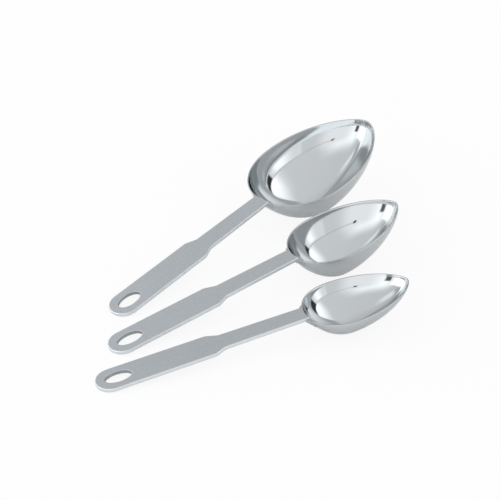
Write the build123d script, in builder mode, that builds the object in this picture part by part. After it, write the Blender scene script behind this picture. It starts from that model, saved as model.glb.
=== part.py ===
"""Set of three measuring spoons: half cup, quarter cup and eighth cup, lying in a fan on a table.

Each spoon is a drawn egg-shaped bowl, a flat bar handle with an oval hang hole, and the weld bead that
joins the two. The table is the plane Z = 0. A spoon rests on the end of its grip and on the lowest
point of its bowl, so its pitch follows from its sizes.
"""

from build123d import *
from math import cos, degrees, radians, sin
import os

# Handle blank, the same for every spoon
bar_thickness = 2.8
grip_end_width = 21.2
grip_shoulder_width = 20.7
neck_shoulder_width = 13.9
neck_end_width = 12.5
grip_length = 77.1
shoulder_length = 7.7
shoulder_radius = 3.0
bar_edge_radius = 0.7

# Oval hang hole in the grip, its centre measured from the grip's outer end
hole_inset = 15.0
hole_length = 17.6
hole_width = 10.2
hole_edge_radius = 0.4

# Bowl stock, and how far its rim lies under the handle's top face
bowl_wall = 1.0
rim_edge_radius = 0.3
rim_drop = 1.5

# Large spoon, half a cup
large_neck_length = 57.8
large_bowl_length = 110.8
large_bowl_width = 73.7
large_bowl_depth = 37.0
large_widest_share = 0.40

# Medium spoon, a quarter of a cup
medium_neck_length = 56.1
medium_bowl_length = 85.3
medium_bowl_width = 53.3
medium_bowl_depth = 31.4
medium_widest_share = 0.38

# Small spoon, an eighth of a cup
small_neck_length = 57.0
small_bowl_length = 73.9
small_bowl_width = 48.7
small_bowl_depth = 21.8
small_widest_share = 0.36

# Weld bead: its leg on the bar and on the bowl's wall, and the blunt toe at its thin end
bead_leg = 1.8
bead_toe = 0.25

# Where each grip's outer end lies on the table, and the way its handle points in degrees from +X
large_end_x = -93.35
large_end_y = -48.0
large_heading_angle = 45.5
medium_end_x = -92.85
medium_end_y = -89.0
medium_heading_angle = 32.1
small_end_x = -99.05
small_end_y = -127.5
small_heading_angle = 22.2

# How far a cutting shape runs past what it cuts
overrun = 4.0

# Egg outline: how full the rear and the tip are, as shares of the half length and half width
rear_fullness_share = 0.605
rear_side_share = 0.555
tip_side_share = 0.61
tip_fullness_share = 0.30

# Bowl profile: the power of the curve from the rim to the bottom, at the rear, sides and tip
rear_profile_share = 1.50
side_profile_share = 1.61
tip_profile_share = 1.63

# Angles down the profile at which the bowl's outline is drawn, as shares of a quarter turn
profile_shares = (0, 0.14, 0.28, 0.42, 0.56, 0.70, 0.82, 0.92)

quarter_turn = radians(90)


def shrink(depth_share, profile_share):
    """Size of the outline at a depth, as a share of its size at the rim."""
    return max(1 - depth_share**profile_share, 0) ** (1 / profile_share)


def lowest_point(pitch, bowl_length, bowl_depth, widest_share, neck_length):
    """Height of the bowl's lowest point over the table, with the grip's end resting on it."""
    rear = widest_share * bowl_length
    reach = grip_length + shoulder_length + neck_length + rear
    grip_top = (bar_thickness - bar_edge_radius) * cos(pitch) + bar_edge_radius * (1 - sin(pitch))
    power = rear_profile_share / (rear_profile_share - 1)
    belly = ((rear * sin(pitch)) ** power + (bowl_depth * cos(pitch)) ** power) ** (1 / power)
    return grip_top + reach * sin(pitch) - rim_drop * cos(pitch) - belly


def resting_pitch(bowl_length, bowl_depth, widest_share, neck_length):
    """Pitch at which both the grip's end and the bowl touch the table, found by halving."""
    low, high = 0, quarter_turn / 2
    for _ in range(40):
        middle = (low + high) / 2
        if lowest_point(middle, bowl_length, bowl_depth, widest_share, neck_length) < 0:
            low = middle
        else:
            high = middle
    return low


def top_plane(end_x, end_y, heading_angle, pitch):
    """Plane of a handle's top face: origin at the grip's outer end, X along the handle."""
    heading = radians(heading_angle)
    along = (cos(heading) * cos(pitch), sin(heading) * cos(pitch), sin(pitch))
    normal = (-cos(heading) * sin(pitch), -sin(heading) * sin(pitch), cos(pitch))
    height = (bar_thickness - bar_edge_radius) * cos(pitch) + bar_edge_radius * (1 - sin(pitch))
    return Plane(origin=(end_x, end_y, height), x_dir=along, z_dir=normal)


def bowl_form(rim_plane, rear, tip, half_width, depth):
    """Filled bowl: egg outlines from the rim down, lofted to the lowest point of the profile."""
    with BuildPart() as form:
        for share in profile_shares:
            depth_share = sin(share * quarter_turn)
            back = rear * shrink(depth_share, rear_profile_share)
            front = tip * shrink(depth_share, tip_profile_share)
            side = half_width * shrink(depth_share, side_profile_share)
            with BuildSketch(rim_plane.offset(-depth * depth_share)):
                with BuildLine():
                    Bezier(
                        (-back, 0),
                        (-back, rear_fullness_share * side),
                        (-rear_side_share * back, side),
                        (0, side),
                    )
                    Bezier(
                        (0, side),
                        (tip_side_share * front, side),
                        (front, tip_fullness_share * side),
                        (front, 0),
                    )
                    mirror(about=Plane.XZ)
                make_face()
        outlines = list(form.pending_faces)
        form.pending_faces.clear()
        form.pending_face_planes.clear()
        bottom = Vertex(*rim_plane.from_local_coords((0, 0, -depth)))
        loft(sections=[*outlines, bottom])
    return form.part


spoons = (
    (
        "large",
        large_neck_length,
        large_bowl_length,
        large_bowl_width,
        large_bowl_depth,
        large_widest_share,
        (large_end_x, large_end_y, large_heading_angle),
    ),
    (
        "medium",
        medium_neck_length,
        medium_bowl_length,
        medium_bowl_width,
        medium_bowl_depth,
        medium_widest_share,
        (medium_end_x, medium_end_y, medium_heading_angle),
    ),
    (
        "small",
        small_neck_length,
        small_bowl_length,
        small_bowl_width,
        small_bowl_depth,
        small_widest_share,
        (small_end_x, small_end_y, small_heading_angle),
    ),
)

os.makedirs("parts", exist_ok=True)

for size, neck_length, bowl_length, bowl_width, bowl_depth, widest_share, place in spoons:
    pitch = resting_pitch(bowl_length, bowl_depth, widest_share, neck_length)
    handle_top = top_plane(*place, pitch)
    rear = widest_share * bowl_length
    tip = bowl_length - rear
    half_width = bowl_width / 2
    neck_start = grip_length + shoulder_length
    neck_end = neck_start + neck_length
    rim_centre = handle_top.from_local_coords((neck_end + rear, 0, -rim_drop))
    rim_plane = Plane(origin=rim_centre, x_dir=handle_top.x_dir, z_dir=handle_top.z_dir)

    outer_form = bowl_form(rim_plane, rear, tip, half_width, bowl_depth)
    inner_form = bowl_form(
        rim_plane,
        rear - bowl_wall,
        tip - bowl_wall,
        half_width - bowl_wall,
        bowl_depth - bowl_wall,
    )

    # Drawn bowl with its plain cut rim, the edges just broken
    with BuildPart() as bowl:
        add(outer_form)
        add(inner_form, mode=Mode.SUBTRACT)
        rim_faces = bowl.faces().filter_by(rim_plane)
        fillet(rim_faces.edges(), rim_edge_radius)
    bowl.part.label = f"{size}_bowl"

    # Flat bar handle: rounded end, shoulders and tapering neck, coped to the bowl's rear wall
    with BuildPart() as handle:
        end_radius = grip_end_width / 2
        neck_stop = neck_end + overrun
        stop_width = neck_shoulder_width + (neck_end_width - neck_shoulder_width) * (
            neck_length + overrun
        ) / neck_length
        with BuildSketch(handle_top.offset(-bar_thickness)):
            with BuildLine():
                ThreePointArc((end_radius, end_radius), (0, 0), (end_radius, -end_radius))
                Polyline(
                    (end_radius, end_radius),
                    (grip_length, grip_shoulder_width / 2),
                    (neck_start, neck_shoulder_width / 2),
                    (neck_stop, stop_width / 2),
                    (neck_stop, -stop_width / 2),
                    (neck_start, -neck_shoulder_width / 2),
                    (grip_length, -grip_shoulder_width / 2),
                    (end_radius, -end_radius),
                )
            make_face()
        extrude(amount=bar_thickness)
        shoulders = [
            edge
            for edge in handle.edges().filter_by(Axis(handle_top.origin, handle_top.z_dir))
            if grip_length - shoulder_radius
            < handle_top.to_local_coords(edge.center()).X
            < neck_start + shoulder_radius
        ]
        fillet(shoulders, shoulder_radius)
        top_and_bottom = handle.faces().filter_by(handle_top)
        fillet(top_and_bottom.edges(), bar_edge_radius)
        with BuildSketch(handle_top.offset(-bar_thickness)):
            with Locations((hole_inset, 0)):
                Ellipse(hole_length / 2, hole_width / 2)
        extrude(amount=bar_thickness, mode=Mode.SUBTRACT)
        fillet(handle.edges().filter_by(GeomType.ELLIPSE), hole_edge_radius)
        add(outer_form, mode=Mode.SUBTRACT)
        mouth = outer_form.faces().filter_by(rim_plane)
        extrude(mouth, amount=rim_drop + overrun, dir=rim_plane.z_dir, mode=Mode.SUBTRACT)
    handle.part.label = f"{size}_handle"

    # Weld bead: a collar that widens towards the wall, less the bowl, the bar and all above the rim
    with BuildPart() as weld_bead:
        bead_start = neck_end - bead_leg
        bead_stop = neck_end + overrun
        for distance, growth in ((bead_start, bead_toe), (bead_stop, bead_leg + overrun)):
            across = Plane(
                origin=handle_top.from_local_coords((distance, 0, -bar_thickness / 2)),
                x_dir=handle_top.y_dir,
                z_dir=handle_top.x_dir,
            )
            with BuildSketch(across):
                RectangleRounded(
                    neck_end_width + 2 * growth,
                    bar_thickness + 2 * growth,
                    bar_edge_radius + growth,
                )
        loft(ruled=True)
        add(outer_form, mode=Mode.SUBTRACT)
        add(handle.part, mode=Mode.SUBTRACT)
        split(bisect_by=rim_plane, keep=Keep.BOTTOM)
    weld_bead.part.label = f"{size}_weld_bead"

    for piece in (bowl.part, handle.part, weld_bead.part):
        export_step(piece, f"parts/{piece.label}.step")
    print(f"{size} spoon: pitch {degrees(pitch):.2f} degrees, holds {inner_form.volume:.0f} cubic mm to the brim")
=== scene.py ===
# %% [markdown]
# Measuring spoons, three sizes of one pattern, lying in a fan on a white table.
# The CAD model holds every solid. This file gives the solids their finish: mirror-polished bowls,
# satin bar handles and the small cleaned welds that join them, under a plain soft studio light.

# %% Load the frame
import bpy
from math import asin, cos, degrees, pi, radians, sin, tan
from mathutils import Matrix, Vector


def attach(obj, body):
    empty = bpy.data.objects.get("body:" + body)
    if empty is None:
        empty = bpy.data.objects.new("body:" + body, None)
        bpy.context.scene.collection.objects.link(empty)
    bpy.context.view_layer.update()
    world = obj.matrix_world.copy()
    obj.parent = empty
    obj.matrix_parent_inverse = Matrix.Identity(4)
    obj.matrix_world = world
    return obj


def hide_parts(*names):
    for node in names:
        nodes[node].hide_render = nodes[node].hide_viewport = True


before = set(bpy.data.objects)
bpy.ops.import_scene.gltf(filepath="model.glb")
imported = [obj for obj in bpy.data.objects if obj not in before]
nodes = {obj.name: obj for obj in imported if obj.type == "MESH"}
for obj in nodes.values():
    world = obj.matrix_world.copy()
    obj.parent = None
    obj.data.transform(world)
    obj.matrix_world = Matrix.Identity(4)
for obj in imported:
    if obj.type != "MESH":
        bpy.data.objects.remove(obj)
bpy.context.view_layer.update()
print("nodes:", sorted(nodes))

# %% [markdown]
# The picture is taken with a long lens from well away, a third of the way up from the table.
# A long lens keeps the near and far spoons at almost the same scale, which is why the fan looks
# so calm. The lens is given by its focal length, and the camera looks straight at a point on the
# table.

# %% Camera
view_target = Vector((-0.0033, 0.0320, 0.0))
view_distance = 1.2816
view_elevation = radians(32.3)
lens_length_mm = 133.1
sensor_width_mm = 36.0

camera_data = bpy.data.cameras.new("studio_camera")
camera_data.lens = lens_length_mm
camera_data.sensor_width = sensor_width_mm
camera = bpy.data.objects.new("studio_camera", camera_data)
towards_camera = Vector((0, -cos(view_elevation), sin(view_elevation)))
camera.location = view_target + view_distance * towards_camera
camera.rotation_euler = (pi / 2 - view_elevation, 0, 0)
bpy.context.scene.collection.objects.link(camera)
bpy.context.scene.camera = camera
print("camera at", [round(c, 3) for c in camera.location])

# %% [markdown]
# A polished bowl is a mirror, and a mirror shows every facet of the mesh under it. So each bowl is
# drawn again here as a fine mesh, from the same egg outline and the same profile as its solid:
# rings of points go down the outside, round the rim's broken edges and down the inside. A
# subdivision surface over a few points would be smooth too, but it would only come near the solid,
# while rings can follow it as closely as one likes.

# %% Sizes that every spoon shares, in metres
bar_thickness = 0.0028
bar_edge_radius = 0.0007
grip_length = 0.0771
shoulder_length = 0.0077
bowl_wall = 0.0010
rim_edge_radius = 0.0003
rim_drop = 0.0015

# Egg outline and profile, as in the solids
rear_fullness_share = 0.605
rear_side_share = 0.555
tip_side_share = 0.61
tip_fullness_share = 0.30
rear_profile_share = 1.50
side_profile_share = 1.61
tip_profile_share = 1.63

# %% Sizes of each spoon, and how far its inner wall leans out at the rim
spoons = {
    "large": dict(
        neck_length=0.0578,
        bowl_length=0.1108,
        bowl_width=0.0737,
        bowl_depth=0.0370,
        widest_share=0.40,
        end_x=-0.09335,
        end_y=-0.0480,
        heading=radians(45.5),
        rim_lean=0.0,
    ),
    "medium": dict(
        neck_length=0.0561,
        bowl_length=0.0853,
        bowl_width=0.0533,
        bowl_depth=0.0314,
        widest_share=0.38,
        end_x=-0.09285,
        end_y=-0.0890,
        heading=radians(32.1),
        rim_lean=radians(16),
        lean_reach=radians(48),
    ),
    "small": dict(
        neck_length=0.0570,
        bowl_length=0.0739,
        bowl_width=0.0487,
        bowl_depth=0.0218,
        widest_share=0.36,
        end_x=-0.09905,
        end_y=-0.1275,
        heading=radians(22.2),
        rim_lean=radians(20.5),
        lean_reach=radians(38),
    ),
}
for size, spoon in spoons.items():
    print(size, "bowl is", round(1000 * spoon["bowl_length"], 1), "mm long")

# %% [markdown]
# Nothing props a spoon up, so it tips until two places touch the table: the end of its grip and the
# lowest point of its bowl. No formula gives that angle at once. It is found by halving: too little
# tip puts the bowl under the table and too much lifts it off, so the guess moves to the middle of
# what is left, again and again.

# %% How each spoon lies
halvings = 40


def grip_top_height(pitch):
    """Height of the grip's outer end over the table, measured at its top face."""
    return (bar_thickness - bar_edge_radius) * cos(pitch) + bar_edge_radius * (1 - sin(pitch))


def reach_to_widest(spoon):
    """From the grip's outer end to the widest place of the bowl."""
    rear = spoon["widest_share"] * spoon["bowl_length"]
    return grip_length + shoulder_length + spoon["neck_length"] + rear


def lowest_point(pitch, spoon):
    """Height of the bowl's lowest point over the table."""
    rear = spoon["widest_share"] * spoon["bowl_length"]
    power = rear_profile_share / (rear_profile_share - 1)
    across = (rear * sin(pitch)) ** power
    down = (spoon["bowl_depth"] * cos(pitch)) ** power
    belly = (across + down) ** (1 / power)
    rim_height = grip_top_height(pitch) + reach_to_widest(spoon) * sin(pitch)
    return rim_height - rim_drop * cos(pitch) - belly


def resting_pitch(spoon):
    low, high = 0.0, pi / 4
    for _ in range(halvings):
        middle = (low + high) / 2
        if lowest_point(middle, spoon) < 0:
            low = middle
        else:
            high = middle
    return low


for size, spoon in spoons.items():
    pitch = resting_pitch(spoon)
    heading = spoon["heading"]
    spoon["along"] = Vector((cos(heading) * cos(pitch), sin(heading) * cos(pitch), sin(pitch)))
    spoon["across"] = Vector((-sin(heading), cos(heading), 0))
    spoon["up"] = spoon["along"].cross(spoon["across"])
    spoon["grip_end"] = Vector((spoon["end_x"], spoon["end_y"], grip_top_height(pitch)))
    rim_reach = reach_to_widest(spoon) * spoon["along"]
    spoon["rim_centre"] = spoon["grip_end"] + rim_reach - rim_drop * spoon["up"]
    print(size, "spoon is tipped up by", round(degrees(pitch), 2), "degrees")


# %% Egg outline: half of it from two curves, the other half mirrored
outline_steps = 48


def curve_point(points, share):
    """The point at a share of the way along a curve with four control points."""
    rest = 1 - share
    weights = (rest**3, 3 * rest**2 * share, 3 * rest * share**2, share**3)
    return (
        sum(weight * point[0] for weight, point in zip(weights, points)),
        sum(weight * point[1] for weight, point in zip(weights, points)),
    )


def egg_outline(back, front, side):
    rear_curve = (
        (-back, 0),
        (-back, rear_fullness_share * side),
        (-rear_side_share * back, side),
        (0, side),
    )
    tip_curve = (
        (0, side),
        (tip_side_share * front, side),
        (front, tip_fullness_share * side),
        (front, 0),
    )
    steps = outline_steps
    half = [curve_point(rear_curve, step / steps) for step in range(steps)]
    half += [curve_point(tip_curve, step / steps) for step in range(steps + 1)]
    return half + [(x, -y) for x, y in reversed(half[1:-1])]


# %% One ring of the bowl's wall, and one of its rim
def shrink(depth_share, profile_share):
    """Size of the outline at a depth, as a share of its size at the rim."""
    return max(1 - depth_share**profile_share, 0) ** (1 / profile_share)


def bowl_ring(spoon, wall, angle):
    """The outline at an angle down the profile, set in from the outside by a wall."""
    depth_share = sin(angle)
    rear = spoon["widest_share"] * spoon["bowl_length"]
    tip = spoon["bowl_length"] - rear
    outline = egg_outline(
        (rear - wall) * shrink(depth_share, rear_profile_share),
        (tip - wall) * shrink(depth_share, tip_profile_share),
        (spoon["bowl_width"] / 2 - wall) * shrink(depth_share, side_profile_share),
    )
    height = -(spoon["bowl_depth"] - wall) * depth_share
    return [Vector((x, y, height)) for x, y in outline]


def rim_ring(spoon, inset, height):
    """A ring between the outer and the inner outline of the rim."""
    outer = bowl_ring(spoon, 0, 0)
    inner = bowl_ring(spoon, bowl_wall, 0)
    share = inset / bowl_wall
    return [a.lerp(b, share) + Vector((0, 0, height)) for a, b in zip(outer, inner)]


# %% All rings of a bowl, from the bottom outside over the rim to the bottom inside
profile_steps = 56
edge_steps = 4


def wall_rings(spoon):
    start = rim_edge_radius / spoon["bowl_depth"]
    angles = [start + (pi / 2 - start) * step / profile_steps for step in range(profile_steps)]
    turns = [pi / 2 * step / edge_steps for step in range(edge_steps + 1)]
    rings = [bowl_ring(spoon, 0, angle) for angle in reversed(angles)]
    for turn in turns[1:]:
        inset = rim_edge_radius * (1 - cos(turn))
        rings.append(rim_ring(spoon, inset, rim_edge_radius * (sin(turn) - 1)))
    for turn in turns[:-1]:
        inset = bowl_wall - rim_edge_radius + rim_edge_radius * sin(turn)
        rings.append(rim_ring(spoon, inset, rim_edge_radius * (cos(turn) - 1)))
    return rings + [bowl_ring(spoon, bowl_wall, angle) for angle in angles]


def bowl_faces(ring_total, count):
    """Four-sided faces between the rings, and a fan of triangles at each of the two bottoms."""
    faces = []
    for ring in range(ring_total - 1):
        here, above = ring * count, (ring + 1) * count
        for place in range(count):
            after = (place + 1) % count
            faces.append((here + place, above + place, above + after, here + after))
    last = (ring_total - 1) * count
    outer_bottom, inner_bottom = ring_total * count, ring_total * count + 1
    for place in range(count):
        after = (place + 1) % count
        faces.append((outer_bottom, place, after))
        faces.append((inner_bottom, last + after, last + place))
    return faces


def placed(spoon, point):
    """A point that is given in the plane of the rim, put where the spoon lies."""
    offset = point.x * spoon["along"] + point.y * spoon["across"] + point.z * spoon["up"]
    return spoon["rim_centre"] + offset


# %% [markdown]
# The walls of the two smaller bowls lean out a little more near the rim than the solids have it.
# It is a small thing to measure and a large one to see: a mirror turns light by twice its own tilt,
# so a few degrees decide whether the far wall shows the bright tent or the opposite wall. The inner
# wall is moved along its own normals, because below the flare that leaves every slope as it was.


# %% Flare of an inner wall
def extra_lean(lean, spoon):
    """How much further a wall leans out: most where it is upright, nothing from the reach on."""
    share_left = max(0.0, 1 - lean / spoon["lean_reach"])
    return spoon["rim_lean"] * share_left**2


def flare_inner_wall(mesh, spoon, count, first):
    """Move the inner wall into the hollow, each ring further than the one above it."""
    normals = [Vector(vertex.normal) for vertex in mesh.vertices]
    moved = [0.0] * count
    rings = []
    for ring in range(first, first + profile_steps):
        for place in range(count):
            here = ring * count + place
            lean = asin(max(-1.0, min(1.0, normals[here].dot(spoon["up"]))))
            drop = (mesh.vertices[here - count].co - mesh.vertices[here].co).dot(spoon["up"])
            extra = extra_lean(lean, spoon)
            if extra:
                moved[place] += drop / cos(lean) * tan(extra)
        rings.append(list(moved))
    # Towards the bottom all sides come to the same distance, so that they meet in one point
    even = sum(moved) / count
    for step, ring in enumerate(rings):
        share = step / (profile_steps - 1)
        evenness = share * share * (3 - 2 * share)
        for place in range(count):
            here = (first + step) * count + place
            distance = ring[place] + evenness * (even - ring[place])
            mesh.vertices[here].co += distance * normals[here]
    mesh.vertices[-1].co += even * spoon["up"]
    mesh.update()
    return min(moved), max(moved)


# %% Build the three bowls
for size, spoon in spoons.items():
    rings = wall_rings(spoon)
    count = len(rings[0])
    depth = spoon["bowl_depth"]
    bottoms = [Vector((0, 0, -depth)), Vector((0, 0, -depth + bowl_wall))]
    points = [point for ring in rings for point in ring] + bottoms
    mesh = bpy.data.meshes.new(f"{size}_polished_bowl")
    mesh.from_pydata([placed(spoon, point) for point in points], [], bowl_faces(len(rings), count))
    for polygon in mesh.polygons:
        polygon.use_smooth = True
    if spoon["rim_lean"]:
        least, most = flare_inner_wall(mesh, spoon, count, len(rings) - profile_steps)
        print(f"{size} bowl's inner wall moved in by {1000 * least:.2f} to {1000 * most:.2f} mm")
    bowl = bpy.data.objects.new(f"{size}_polished_bowl", mesh)
    bpy.context.scene.collection.objects.link(bowl)
    spoon["bowl"] = bowl
    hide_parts(f"{size}_bowl")
    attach(bowl, f"{size}_spoon")
    print(size, "bowl:", len(mesh.polygons), "faces")


# %% [markdown]
# Steel has no colour of its own to speak of: it gives back a little over half of the light that
# falls on it, a shade cooler than it came. What tells a polished bowl from a satin bar is mostly
# how far each one scatters that light. So the finishes have nearly the same base colour, and differ
# in roughness and in the fine relief left by the last tool that touched them.

# %% Helpers for node trees: maths, noise, a ramp and a mix
def feed(tree, socket, value):
    """Set a socket to a number, or link it to another socket."""
    if isinstance(value, bpy.types.NodeSocket):
        tree.links.new(value, socket)
    else:
        socket.default_value = value


def math_node(tree, operation, *values):
    node = tree.nodes.new("ShaderNodeMath")
    node.operation = operation
    for socket, value in zip(node.inputs, values):
        feed(tree, socket, value)
    return node.outputs[0]


def noise_node(tree, point, scale, detail):
    node = tree.nodes.new("ShaderNodeTexNoise")
    feed(tree, node.inputs["Vector"], point)
    feed(tree, node.inputs["Scale"], scale)
    node.inputs["Detail"].default_value = detail
    return node.outputs["Fac"]


def ramp_node(tree, value, low, high, smooth=True):
    """0 where the value is at low, 1 where it is at high, and a change from one to the other."""
    node = tree.nodes.new("ShaderNodeMapRange")
    if smooth:
        node.interpolation_type = "SMOOTHSTEP"
    feed(tree, node.inputs["Value"], value)
    feed(tree, node.inputs["From Min"], low)
    feed(tree, node.inputs["From Max"], high)
    return node.outputs["Result"]


def mix_node(tree, mask, low, high, kind="FLOAT"):
    """One value where the mask is 0 and another where it is 1: FLOAT levels or RGBA colours."""
    node = tree.nodes.new("ShaderNodeMix")
    node.data_type = kind
    for name, value in (("Factor", mask), ("A", low), ("B", high)):
        feed(tree, node.inputs[name], value)
    return node.outputs["Result"]


# %% Helpers for node groups: make one with named sockets, and place it in a tree
def new_group(name, inputs, outputs):
    """A node group with float sockets. A socket whose name ends in Point is a vector."""
    group = bpy.data.node_groups.new(name, "ShaderNodeTree")
    for direction, names in (("INPUT", inputs), ("OUTPUT", outputs)):
        for socket_name in names:
            kind = "NodeSocketVector" if socket_name.endswith("Point") else "NodeSocketFloat"
            group.interface.new_socket(socket_name, in_out=direction, socket_type=kind)
    print("group", name, "takes", ", ".join(inputs), "and gives", ", ".join(outputs))
    return group, group.nodes.new("NodeGroupInput"), group.nodes.new("NodeGroupOutput")


def place_group(tree, group, **values):
    node = tree.nodes.new("ShaderNodeGroup")
    node.node_tree = group
    for name, value in values.items():
        feed(tree, node.inputs[name.replace("_", " ")], value)
    return node


# %% [markdown]
# Two effects turn up on more than one finish. Grain is the relief of a belt or a brush: fine noise,
# stretched along the way the tool ran. Handling is what fingers and a cloth leave on bare steel:
# broad, faint patches that are a little duller. A picture of scratches would repeat and would have
# to be laid round each form. Noise does neither, and it has the right size in metres everywhere.
# Each effect is a group, placed in each finish with values of its own.

# %% Grain: noise stretched along a heading, as a relief height and as streaks
fine_detail = 3.0
broad_detail = 2.0
broad_scale_share = 0.12
fine_weight, broad_weight = 0.85, 0.15
streaks_low, streaks_high = 0.38, 0.62

grain, grain_in, grain_out = new_group(
    "steel_grain",
    ("Point", "Heading", "Fineness", "Stretch"),
    ("Height", "Streaks"),
)
turn = grain.nodes.new("ShaderNodeVectorRotate")
turn.rotation_type = "Z_AXIS"
grain.links.new(grain_in.outputs["Point"], turn.inputs["Vector"])
turned_back = math_node(grain, "MULTIPLY", grain_in.outputs["Heading"], -1.0)
grain.links.new(turned_back, turn.inputs["Angle"])
long_way = grain.nodes.new("ShaderNodeCombineXYZ")
for axis, length in (("X", grain_in.outputs["Stretch"]), ("Y", 1.0), ("Z", 1.0)):
    feed(grain, long_way.inputs[axis], length)
squeeze = grain.nodes.new("ShaderNodeVectorMath")
squeeze.operation = "DIVIDE"
grain.links.new(turn.outputs["Vector"], squeeze.inputs[0])
grain.links.new(long_way.outputs["Vector"], squeeze.inputs[1])

fine_scale = grain_in.outputs["Fineness"]
broad_scale = math_node(grain, "MULTIPLY", fine_scale, broad_scale_share)
fine = noise_node(grain, squeeze.outputs["Vector"], fine_scale, fine_detail)
broad = noise_node(grain, squeeze.outputs["Vector"], broad_scale, broad_detail)
fine_part = math_node(grain, "MULTIPLY", fine, fine_weight)
broad_part = math_node(grain, "MULTIPLY", broad, broad_weight)
both = math_node(grain, "ADD", fine_part, broad_part)
streaks = ramp_node(grain, both, streaks_low, streaks_high, smooth=False)
grain.links.new(fine, grain_out.inputs["Height"])
grain.links.new(streaks, grain_out.inputs["Streaks"])

# %% Handling: broad faint patches, 0 where the steel is clean and 1 where it is dullest
patch_detail = 4.0
clean_level, dull_level = 0.42, 0.72

handling, handling_in, handling_out = new_group(
    "handling_marks", ("Point", "Patch Scale"), ("Mask",)
)
given = handling_in.outputs
patches = noise_node(handling, given["Point"], given["Patch Scale"], patch_detail)
dullness = ramp_node(handling, patches, clean_level, dull_level)
handling.links.new(dullness, handling_out.inputs["Mask"])

# %% [markdown]
# Every finish starts the same way: bare metal, the grain of its last tool, and handling marks. The
# roughness is a base value, plus a little on the streaks and a little on the marks. The numbers
# below are all that differs, with scales in noise cells per metre and relief in millimetres.

# %% Three finishes and what they share
finishes = {
    "polish": dict(
        fineness=3600.0,
        stretch=12.0,
        patch_scale=38.0,
        roughness=0.05,
        streak_roughness=0.01,
        mark_roughness=0.05,
        relief_mm=0.035,
    ),
    "satin": dict(
        fineness=2300.0,
        stretch=5.0,
        patch_scale=26.0,
        roughness=0.36,
        streak_roughness=0.12,
        mark_roughness=0.05,
        relief_mm=0.03,
    ),
    "weld": dict(
        fineness=700.0,
        stretch=2.0,
        patch_scale=120.0,
        roughness=0.32,
        streak_roughness=0.15,
        mark_roughness=0.08,
        relief_mm=0.06,
    ),
}


def start_finish(name, finish, heading):
    """Bare steel with its roughness; gives the material, its shader, the point and the grain."""
    material = bpy.data.materials.new(name)
    material.use_nodes = True
    tree = material.node_tree
    shader = tree.nodes["Principled BSDF"]
    shader.inputs["Metallic"].default_value = 1.0
    point = tree.nodes.new("ShaderNodeTexCoord").outputs["Object"]
    lines = place_group(
        tree,
        grain,
        Point=point,
        Heading=heading,
        Fineness=finish["fineness"],
        Stretch=finish["stretch"],
    ).outputs
    marks = place_group(tree, handling, Point=point, Patch_Scale=finish["patch_scale"]).outputs
    on_streaks = math_node(tree, "MULTIPLY", lines["Streaks"], finish["streak_roughness"])
    on_marks = math_node(tree, "MULTIPLY", marks["Mask"], finish["mark_roughness"])
    added = math_node(tree, "ADD", on_streaks, on_marks)
    total = math_node(tree, "ADD", added, finish["roughness"])
    tree.links.new(total, shader.inputs["Roughness"])
    print(name, "has a roughness of", finish["roughness"], "and up")
    return material, shader, point, lines


def add_relief(tree, shader, height, finish):
    bump = tree.nodes.new("ShaderNodeBump")
    bump.inputs["Distance"].default_value = finish["relief_mm"] / 1000
    bump.inputs["Strength"].default_value = 1.0
    tree.links.new(height, bump.inputs["Height"])
    tree.links.new(bump.outputs["Normal"], shader.inputs["Normal"])


# %% [markdown]
# The bowls are drawn, then buffed to a mirror. A buffed surface is bright but never dead flat: the
# pressing leaves a very shallow waviness, which bends the long reflections a little, and the wheel
# leaves lines that are only just there. Both are far under a tenth of a millimetre, so they are
# made as bump and not as more faces.

# %% Mirror-polished bowls
polish_color = (0.564, 0.590, 0.603, 1)
buffing_heading = radians(33)
wave_scale = 42.0
wave_detail = 1.0
line_share = 0.045

polish, shader, point, lines = start_finish(
    "mirror_polished_steel", finishes["polish"], buffing_heading
)
tree = polish.node_tree
shader.inputs["Base Color"].default_value = polish_color
waves = noise_node(tree, point, wave_scale, wave_detail)
height = math_node(tree, "MULTIPLY_ADD", lines["Height"], line_share, waves)
add_relief(tree, shader, height, finishes["polish"])
for spoon in spoons.values():
    spoon["bowl"].data.materials.append(polish)

# %% [markdown]
# The bars are blanked from strip, and their faces are left satin: an even, pearly grey with a faint
# run of the belt along the grip. The satin on each bar follows that bar's own heading. The upright
# sides get a lighter base colour, a painted sheen for the white floor they mirror, and the wall of
# the hang hole a darker one, painted shade in the hole. The bars keep their solids' meshes, so
# masks find the sides by the way they face and the hole by its distance from the hole's middle.

# %% Colours of a bar, with painted sheen for its sides and painted shade for its hole, and their masks
face_color = (0.600, 0.634, 0.664, 1)
face_streak_color = (0.524, 0.558, 0.588, 1)
# Painted sheen: a lighter base colour for the upright sides, standing in for the white floor they
# mirror
painted_side_sheen_color = (0.72, 0.752, 0.775, 1)
# Painted shade: a darker base colour for the wall of the hang hole
painted_hole_shade_color = (0.42, 0.445, 0.465, 1)
flat_enough, steep_enough = 0.95, 0.5
hole_inset = 0.015
hole_reach = 0.0098


def side_mask(tree):
    """0 on the flat top and bottom of a bar, 1 on its upright sides and in its hole."""
    parts = tree.nodes.new("ShaderNodeSeparateXYZ")
    tree.links.new(tree.nodes.new("ShaderNodeTexCoord").outputs["Normal"], parts.inputs[0])
    flatness = math_node(tree, "ABSOLUTE", parts.outputs["Z"])
    return ramp_node(tree, flatness, flat_enough, steep_enough)


def hole_mask(tree, point, spoon):
    """1 within reach of the middle of the hang hole."""
    distance = tree.nodes.new("ShaderNodeVectorMath")
    distance.operation = "DISTANCE"
    tree.links.new(point, distance.inputs[0])
    distance.inputs[1].default_value = spoon["grip_end"] + hole_inset * spoon["along"]
    return math_node(tree, "LESS_THAN", distance.outputs["Value"], hole_reach)


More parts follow.
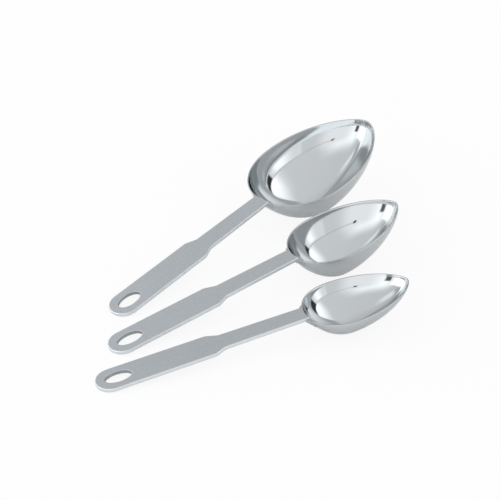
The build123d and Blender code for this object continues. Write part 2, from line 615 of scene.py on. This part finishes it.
# %% Satin bars, one material for each because the grain follows the bar
for size, spoon in spoons.items():
    satin, shader, point, lines = start_finish(
        f"satin_steel_{size}", finishes["satin"], spoon["heading"]
    )
    tree = satin.node_tree
    add_relief(tree, shader, lines["Height"], finishes["satin"])
    sides = side_mask(tree)
    # Mask for the painted shade on the wall of the hang hole
    hole_shade_mask = math_node(tree, "MULTIPLY", sides, hole_mask(tree, point, spoon))
    face = mix_node(tree, lines["Streaks"], face_color, face_streak_color, "RGBA")
    # Painted sheen: the upright sides get a lighter base colour
    with_painted_sheen = mix_node(tree, sides, face, painted_side_sheen_color, "RGBA")
    # Painted shade: the wall of the hang hole gets a darker base colour
    color = mix_node(tree, hole_shade_mask, with_painted_sheen, painted_hole_shade_color, "RGBA")
    tree.links.new(color, shader.inputs["Base Color"])
    for slot in nodes[f"{size}_handle"].material_slots:
        slot.material = satin

# %% [markdown]
# The weld is brushed clean after it cools. It is darker than the bar's faces and has small ripples
# across it. It keeps its solid's mesh too, because the form is right and mirrors nothing.

# %% Cleaned weld
weld_color = (0.49, 0.515, 0.535, 1)
ripple_heading = radians(40)

weld, shader, point, ripples = start_finish("cleaned_weld", finishes["weld"], ripple_heading)
shader.inputs["Base Color"].default_value = weld_color
add_relief(weld.node_tree, shader, ripples["Height"], finishes["weld"])
for size in spoons:
    for slot in nodes[f"{size}_weld_bead"].material_slots:
        slot.material = weld

# %% [markdown]
# The table is a sheet of matt white. Seen straight on it is nearly as white as the paper of a
# catalogue page, and the spoons only darken it a little where they touch it. The camera, and the
# steel in its turn, see part of that white directly, so it stays clean without more light.

# %% White table
table_size = 6.0
paper_color = (0.9, 0.9, 0.9, 1)
paper_roughness = 0.9
white_share_seen = 0.88
white_share_mirrored = 0.08

half = table_size / 2
corners = [(-half, -half, 0), (half, -half, 0), (half, half, 0), (-half, half, 0)]
table_mesh = bpy.data.meshes.new("white_table")
table_mesh.from_pydata(corners, [], [(0, 1, 2, 3)])
table = bpy.data.objects.new("white_table", table_mesh)
bpy.context.scene.collection.objects.link(table)
print("table is", table_size, "metres wide")

# %% Matt white, with part of it shown as plain white
paper = bpy.data.materials.new("matt_white")
paper.use_nodes = True
tree = paper.node_tree
shader = tree.nodes["Principled BSDF"]
shader.inputs["Base Color"].default_value = paper_color
shader.inputs["Roughness"].default_value = paper_roughness
path = tree.nodes.new("ShaderNodeLightPath").outputs
in_steel = math_node(tree, "MAXIMUM", path["Is Glossy Ray"], path["Is Transmission Ray"])
seen = math_node(tree, "MULTIPLY", path["Is Camera Ray"], white_share_seen)
mirrored = math_node(tree, "MULTIPLY", in_steel, white_share_mirrored)
white_share = math_node(tree, "MAXIMUM", seen, mirrored)
plain_white = tree.nodes.new("ShaderNodeEmission")
blend = tree.nodes.new("ShaderNodeMixShader")
tree.links.new(white_share, blend.inputs["Fac"])
tree.links.new(shader.outputs["BSDF"], blend.inputs[1])
tree.links.new(plain_white.outputs["Emission"], blend.inputs[2])
tree.links.new(blend.outputs["Shader"], tree.nodes["Material Output"].inputs["Surface"])
table.data.materials.append(paper)

# %% [markdown]
# A mirror shows the room. The room here is a light tent: pale cloth all round, brighter where a
# lamp stands behind it, and a few narrow dark things that peep in, such as a stand, the joint
# between two cloths and the lens itself. Cards and lamps could be stood round the table for this.
# Patches on the sky are easier to move one by one, and light all three spoons alike. Each is placed
# by compass angle and height, with its own softness at the sides, foot and top, so one small group
# draws them all.

# %% One patch of the tent: a mask between two compass angles and two heights, all in degrees
half_turn = 180.0

patch, patch_in, patch_out = new_group(
    "tent_patch",
    (
        "Compass",
        "Height",
        "Middle",
        "Half Width",
        "Low",
        "High",
        "Side Softness",
        "Foot Softness",
        "Top Softness",
    ),
    ("Mask",),
)
given = patch_in.outputs


def rise(value, softness):
    """0 well below zero, 1 well above it, smooth over the softness."""
    below = math_node(patch, "MULTIPLY", softness, -0.5)
    above = math_node(patch, "MULTIPLY", softness, 0.5)
    return ramp_node(patch, value, below, above)


from_middle = math_node(patch, "SUBTRACT", given["Compass"], given["Middle"])
turned = math_node(patch, "WRAP", from_middle, half_turn, -half_turn)
in_width = math_node(patch, "SUBTRACT", given["Half Width"], math_node(patch, "ABSOLUTE", turned))
over_foot = math_node(patch, "SUBTRACT", given["Height"], given["Low"])
under_top = math_node(patch, "SUBTRACT", given["High"], given["Height"])
foot_mask = rise(over_foot, given["Foot Softness"])
top_mask = rise(under_top, given["Top Softness"])
height_mask = math_node(patch, "MULTIPLY", foot_mask, top_mask)
side_softened = rise(in_width, given["Side Softness"])
patch_mask = math_node(patch, "MULTIPLY", side_softened, height_mask)
patch.links.new(patch_mask, patch_out.inputs["Mask"])

# %% The tent's cloth, then its patches in turn: compass from +Y towards +X, height from the horizon
cloth_level = 0.918
cloth_rise_to_right = 0.06
tent_patches = {
    # name: (middle, half width, low, high), (side, foot and top softness), level
    "back_shade": ((-14, 50, -30, 70), (30, 4, 40), 0.76),
    "back_foot": ((-10, 52, -30, 36), (20, 4, 12), 0.66),
    "left_low_light": ((-66, 40, -40, 26), (16, 4, 14), 2.1),
    "left_wide_light": ((-117, 20, -40, 31), (3, 4, 6), 2.3),
    "left_shade": ((-76, 27, 29, 41), (16, 6, 5), 0.64),
    "left_high_light": ((-92, 14, 44, 62), (12, 6, 12), 1.22),
    "front_left_window": ((-163, 28, -40, 43), (34, 4, 26), 1.72),
    "front_left_stand": ((-148, 5.2, -40, 18.5), (3, 4, 4), 0.16),
    "front_glow": ((178, 20, -40, 34), (26, 4, 14), 1.3),
    "right_window": ((72, 25, 27, 47), (36, 1.5, 36), 1.85),
    "right_window_frame": ((15, 34, -40, 58), (3, 4, 24), 0.56),
    "right_stand": ((70, 17, -40, 26.4), (5, 4, 1.0), 0.05),
    "right_low_cloth": ((112, 23.5, -40, 26.2), (1.5, 4, 1.0), 1.14),
    "right_low_light": ((109, 9, -40, 25), (22, 4, 5), 1.8),
    "cloth_edge": ((132, 41, 26.2, 27.4), (6, 0.8, 0.8), 0.72),
    "lens": ((172, 1.9, 24.6, 28.2), (1, 1, 1), 0.02),
}

world = bpy.data.worlds.new("tent")
bpy.context.scene.world = world
world.use_nodes = True
sky = world.node_tree
parts = sky.nodes.new("ShaderNodeSeparateXYZ")
sky.links.new(sky.nodes.new("ShaderNodeTexCoord").outputs["Generated"], parts.inputs[0])
east, north, upward = parts.outputs
compass = math_node(sky, "MULTIPLY", math_node(sky, "ARCTAN2", east, north), degrees(1))
height = math_node(sky, "MULTIPLY", math_node(sky, "ARCSINE", upward), degrees(1))
level = math_node(sky, "MULTIPLY_ADD", east, cloth_rise_to_right, cloth_level)

# %% Lay each patch over what is there already
for name, (place, softness, patch_level) in tent_patches.items():
    middle, half_width, low, high = place
    side_softness, foot_softness, top_softness = softness
    node = place_group(
        sky,
        patch,
        Compass=compass,
        Height=height,
        Middle=middle,
        Half_Width=half_width,
        Low=low,
        High=high,
        Side_Softness=side_softness,
        Foot_Softness=foot_softness,
        Top_Softness=top_softness,
    )
    node.label = name
    level = mix_node(sky, node.outputs["Mask"], level, patch_level)
print(len(tent_patches), "patches on the tent")

# %% The camera itself sees the tent as plain white
seen_by_camera = sky.nodes.new("ShaderNodeLightPath").outputs["Is Camera Ray"]
background = sky.nodes["Background"]
background.inputs["Color"].default_value = (1, 1, 1, 1)
shown_level = mix_node(sky, seen_by_camera, level, 1.0)
sky.links.new(shown_level, background.inputs["Strength"])
bpy.context.scene.view_settings.view_transform = "Standard"
